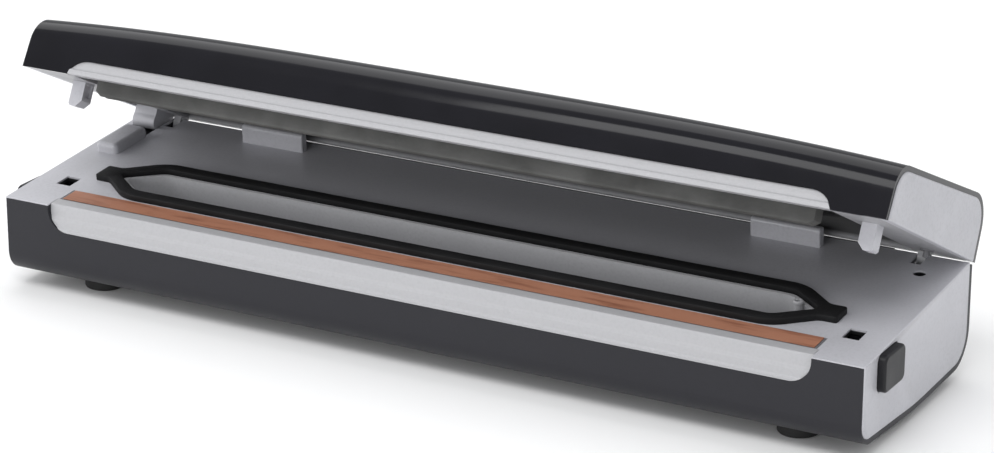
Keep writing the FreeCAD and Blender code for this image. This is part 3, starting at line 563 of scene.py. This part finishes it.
def pad_section():
    """The bar's section (u, w), with rounded long edges and a shallow groove."""
    return [
        (9.7, 5.9), (9.6, 4.0), (9.6, -4.2), (9.75, -4.9), (10.3, -5.35), (11.6, PAD_LOWEST),
        (12.2, -5.15), (14.0, -5.15), (14.6, PAD_LOWEST), (15.9, -5.35), (16.45, -4.9), (16.6, -4.2),
        (16.6, 4.0), (16.5, 5.9),
    ]


def pad_row(work, x):
    """The points of one section, raised near the bar's chamfered ends."""
    lift = max(0.0, abs(x) - PAD_CHAMFER_X)
    row = []
    for u, w in pad_section():
        sag = PAD_SAG * noise.noise(Vector((x * 0.03, u * 0.1, 0)))
        low = max(w, PAD_LOWEST + lift * PAD_CHAMFER_RISE) if w < 0 else w
        row.append(work.verts.new(LID @ (Vector((x, u, low + (sag if w < 0 else 0))) * MM)))
    return row


def make_pressure_pad():
    """The silicone bar under the lid, which presses the bag on the strip."""
    work = bmesh.new()
    xs = [-PAD_HALF + 2 * PAD_HALF * i / PAD_SLICES for i in range(PAD_SLICES + 1)]
    join_stack(work, [pad_row(work, x) for x in xs])
    piece = new_piece("pressure_bar", finished_mesh("pressure_bar", work), "lid", "pad_rubber")
    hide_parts("pressure_pad")
    smooth_by_angle(piece, 40)
    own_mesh(piece)


# ---- Gloss lid ----
def lid_profile(share, inset, low_w, rear_inset=None):
    """The lid's profile corners (u, w, radius) at a share of its half length, moved inwards by inset."""
    drop = LID_CROWN * abs(share) ** LID_CROWN_POWER
    rear = LID_DEPTH - (inset if rear_inset is None else rear_inset)
    return [
        (inset, low_w, 0),
        (2.0 + inset, LID_FRONT_HEIGHT - drop - inset, 13.0 - 1.5 * abs(share) - 0.9 * inset),
        (rear - 0.8, LID_REAR_HEIGHT - drop - inset, 12.5 - inset),
        (rear, low_w, 0),
    ]


def even_profile(corners):
    """A profile with a fixed number of points, so that neighbouring sections join up."""
    turned = rounded_outline(corners, 14)
    front, rear = turned[0], turned[-1]
    first_arc, second_arc = turned[1:16], turned[16:31]
    rise = [front.lerp(first_arc[0], k / 6) for k in range(6)]
    top = [first_arc[-1].lerp(second_arc[0], k / 12) for k in range(1, 12)]
    fall = [second_arc[-1].lerp(rear, k / 6) for k in range(1, 7)]
    return rise + first_arc + top + second_arc + fall


def lofted(name, xs, profile_at):
    """A closed solid through one profile at each x, in the lid's own frame, in millimetres."""
    work = bmesh.new()
    rows = [[work.verts.new((x, p.x, p.y)) for p in profile_at(x)] for x in xs]
    join_stack(work, rows)
    return bpy.data.objects.new(name, finished_mesh(name, work))


def prism(name, outline, low, high, place):
    """A closed prism of an outline (a, b), between two levels, put through place."""
    work = bmesh.new()
    bottom = [work.verts.new(place @ Vector((p.x, p.y, low))) for p in outline]
    top = [work.verts.new(place @ Vector((p.x, p.y, high))) for p in outline]
    join_rows(work, bottom, top)
    work.faces.new(bottom[::-1])
    work.faces.new(top)
    return bpy.data.objects.new(name, finished_mesh(name, work))


def cut_away(piece, cutters):
    """Takes the cutters out of a piece, then removes them."""
    scene = bpy.context.scene.collection.objects
    for cutter in cutters:
        scene.link(cutter)
        modifier = piece.modifiers.new("cut", "BOOLEAN")
        modifier.operation = "DIFFERENCE"
        modifier.solver = "EXACT"
        modifier.object = cutter
    bpy.context.view_layer.update()
    made = piece.evaluated_get(bpy.context.evaluated_depsgraph_get())
    piece.data = bpy.data.meshes.new_from_object(made)
    piece.modifiers.clear()
    for cutter in cutters:
        bpy.data.objects.remove(cutter)


LID_HALF = HALF - END_PROUD
CAP_X = HALF - CAP_THICK
LID_SECTIONS = 72
PANEL_HOLE_HALF = 44.15
PANEL_HOLE_HALF_DEPTH = 11.15
PANEL_HOLE_RADIUS = 5.15
CAP_CLEARANCE = 0.14


def lid_loft(name, half, inset, low_w):
    """The lid's crowned outer form to a half length, moved inwards by inset."""
    xs = [half * (2 * i / LID_SECTIONS - 1) for i in range(LID_SECTIONS + 1)]
    return lofted(name, xs, lambda x: even_profile(lid_profile(x / LID_HALF, inset, low_w)))


def trim_cutter():
    """Cuts the front wall open for the trim."""
    outline = rounded_outline([
        (TRIM_HALF, -5, 0), (TRIM_HALF, TRIM_HEIGHT, TRIM_CORNER),
        (-TRIM_HALF, TRIM_HEIGHT, TRIM_CORNER), (-TRIM_HALF, -5, 0),
    ], 12)
    facing_front = Matrix(((1, 0, 0, 0), (0, 0, 1, 0), (0, 1, 0, 0), (0, 0, 0, 1)))
    return prism("trim_notch", outline, -5.0, 10.0, facing_front)


def panel_cutter():
    """Cuts the top open for the control panel."""
    a, b = PANEL_HOLE_HALF, PANEL_HOLE_HALF_DEPTH
    corners = [(x, y, PANEL_HOLE_RADIUS) for x, y in ((-a, -b), (a, -b), (a, b), (-a, b))]
    on_top = Matrix.Translation((0, PANEL_U, PANEL_W)) @ Matrix.Rotation(PANEL_SLOPE, 4, "X")
    return prism("panel_hole", rounded_outline(corners, 10), -6.0, 6.0, on_top)


def cap_cutter(side):
    """Cuts one end open for its cap."""
    corners = lid_profile(1.0, LID_WALL + CAP_CLEARANCE, -0.1, END_REAR_INSET - 0.2)
    ends = sorted((side * (CAP_X - 0.05), side * (HALF + 1)))
    return lofted("cap_hole", ends, lambda x: even_profile(corners))


def make_gloss_lid():
    """The gloss cover as one smooth crowned shell, cut out for the trim, the caps and the panel."""
    shell = lid_loft("gloss_lid", LID_HALF, 0, 0)
    bpy.context.scene.collection.objects.link(shell)
    hollow = lid_loft("hollow", CAP_X, LID_WALL, -2.0)
    cut_away(shell, [hollow, trim_cutter(), panel_cutter(), cap_cutter(-1), cap_cutter(1)])
    shell.data.transform(LID @ Matrix.Scale(MM, 4))
    bpy.context.scene.collection.objects.unlink(shell)
    piece = new_piece("gloss_lid_cover", shell.data, "lid", "gloss_black")
    bpy.data.objects.remove(shell)
    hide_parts("lid_shell")
    smooth_by_angle(piece, 30)
    normals = piece.modifiers.new("even_shading", "WEIGHTED_NORMAL")
    normals.keep_sharp = True


# ---- Vacuum nozzle ----
BORE_RADIUS = 0.9
STEM_RADIUS = 1.42
HEAD_RADIUS = 1.85
BARB_RADIUS = 1.5
BARB_END_H = -17.0
NOZZLE_TURNS = 40


def nozzle_profile():
    """The nozzle's section (radius, height), round the bored head, the stem, the foot and the hose barb."""
    top = PORT_TOP_H
    foot = -CHAMBER_DEPTH
    return [
        (BORE_RADIUS, top - 2.0), (BORE_RADIUS, top - 0.12), (1.05, top), (1.62, top), (1.78, top - 0.12),
        (HEAD_RADIUS, top - 0.35), (HEAD_RADIUS, top - 1.15), (1.76, top - 1.35), (1.5, top - 1.5),
        (STEM_RADIUS, top - 2.6), (STEM_RADIUS, foot + 2.4), (1.5, foot + 1.5), (1.7, foot + 1.1),
        (HEAD_RADIUS, foot + 0.9), (HEAD_RADIUS, foot + 0.05), (BARB_RADIUS, foot + 0.05),
        (BARB_RADIUS, BARB_END_H), (BORE_RADIUS, BARB_END_H),
    ]


def make_nozzle():
    """The moulded suction nozzle, turned round its own axis."""
    work = bmesh.new()
    rows = []
    for i in range(NOZZLE_TURNS):
        angle = 2 * math.pi * i / NOZZLE_TURNS
        row = []
        for radius, height in nozzle_profile():
            here = Vector((PORT_X + radius * math.cos(angle), PORT_V + radius * math.sin(angle), height))
            row.append(work.verts.new(DECK @ (here * MM)))
        rows.append(row)
    for near, far in zip(rows, rows[1:] + rows[:1]):
        join_rows(work, near, far)
    piece = new_piece("suction_nozzle", finished_mesh("suction_nozzle", work), "base", "light_plastic")
    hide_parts("vacuum_port")
    smooth_by_angle(piece, 40)


# ---- Latch springs ----
SPRING_FOOT_X = 147.7
SPRING_V = 22.8
SPRING_H = -8.8
SPRING_LENGTH = 10.2
COIL_RADIUS = 2.3
WIRE_RADIUS = 0.3
COIL_TURNS = 6
COIL_STEPS = 24 * COIL_TURNS
WIRE_SIDES = 8


def coil_row(step):
    """Points round the wire at one step of the coil, in millimetres from the spring's foot."""
    length = SPRING_LENGTH - 2 * WIRE_RADIUS
    angle = 2 * math.pi * COIL_TURNS * step / COIL_STEPS
    out = Vector((0, math.cos(angle), math.sin(angle)))
    pitch = length / (2 * math.pi * COIL_TURNS)
    along = Vector((pitch, -COIL_RADIUS * math.sin(angle), COIL_RADIUS * math.cos(angle)))
    across = out.cross(along.normalized())
    centre = Vector((WIRE_RADIUS + length * step / COIL_STEPS, 0, 0)) + out * COIL_RADIUS
    turns = [2 * math.pi * k / WIRE_SIDES for k in range(WIRE_SIDES)]
    return [centre + (out * math.cos(turn) + across * math.sin(turn)) * WIRE_RADIUS for turn in turns]


def make_latch_spring(name, side):
    """A coil between the frame's rib and the slide. It shortens in both directions of the slide's travel."""
    work = bmesh.new()
    rows = []
    for step in range(COIL_STEPS + 1):
        row = []
        for here in coil_row(step):
            placed = Vector((side * (SPRING_FOOT_X + here.x), SPRING_V + here.y, SPRING_H + here.z))
            row.append(work.verts.new(DECK @ (placed * MM)))
        rows.append(row)
    join_stack(work, rows)
    piece = new_piece(f"latch_coil_{name}", finished_mesh(f"latch_coil_{name}", work), "base", "steel")
    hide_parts(f"latch_spring_{name}")
    smooth_by_angle(piece, 50)
    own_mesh(piece)


foam_ring("base_foam_ring", "base_gasket", DECK, 0.0, 2.6)
LID_GASKET_PLACE = LID @ Matrix.Translation(Vector((0, -LID_V, 0)) * MM)
foam_ring("lid_foam_ring", "lid_gasket", LID_GASKET_PLACE, 6.0, 2.35)
make_pressure_pad()
make_gloss_lid()
make_nozzle()
make_latch_spring("left", -1)
make_latch_spring("right", 1)


# ---- Camera, floor and light ----
def add_camera():
    data = bpy.data.cameras.new("camera")
    data.sensor_width = 36
    data.lens = 124.96
    data.shift_x = -0.00995
    data.shift_y = 0.00452
    data.clip_end = 20
    camera = bpy.data.objects.new("camera", data)
    camera.location = (0.61180, -1.09307, 0.49055)
    camera.rotation_euler = Euler([math.radians(angle) for angle in (70.147, -0.175, 28.836)])
    bpy.context.scene.collection.objects.link(camera)
    bpy.context.scene.camera = camera


def add_floor():
    mesh = bpy.data.meshes.new("floor")
    size = 6.0
    corners = [(-size, -size, 0), (size, -size, 0), (size, size, 0), (-size, size, 0)]
    mesh.from_pydata(corners, [], [(0, 1, 2, 3)])
    floor = bpy.data.objects.new("floor", mesh)
    bpy.context.scene.collection.objects.link(floor)
    surface = Surface("floor_paper", (0.95, 0.95, 0.95), 0.85)
    surface.vary_roughness(surface.noise(20, 3), 0.03)
    surface.bump(surface.noise(700, 2), 0.00003, 0.2)
    mesh.materials.append(surface.done())


def add_light(name, location, target, size, power, colour=(1, 1, 1)):
    data = bpy.data.lights.new(name, "AREA")
    data.shape = "RECTANGLE"
    data.size, data.size_y = size
    data.energy = power
    data.color = colour
    light = bpy.data.objects.new(name, data)
    light.location = location
    light.rotation_euler = (Vector(target) - Vector(location)).to_track_quat("-Z", "Y").to_euler()
    bpy.context.scene.collection.objects.link(light)


def add_studio():
    world = bpy.data.worlds.new("studio")
    world.use_nodes = True
    background = world.node_tree.nodes["Background"]
    background.inputs["Color"].default_value = (0.93, 0.94, 0.96, 1)
    background.inputs["Strength"].default_value = 0.50
    bpy.context.scene.world = world
    add_light("rear_softbox", (0.0, 0.75, 1.4), (0, 0, 0), (3.4, 1.3), 17)
    add_light("front_softbox", (-0.05, -0.82, 1.45), (0, 0, 0), (1.5, 0.7), 10)
    add_light("front_fill", (-0.2, -1.7, 0.42), (0, 0, 0.05), (1.6, 0.5), 8)
    add_light("right_fill", (1.6, -0.5, 0.8), (0, 0, 0.05), (0.8, 0.8), 2.5)
    add_light("left_key", (-1.7, -0.6, 0.7), (0, 0, 0.05), (0.9, 0.9), 12)
    bpy.context.scene.view_settings.view_transform = "Standard"


add_camera()
add_floor()
add_studio()
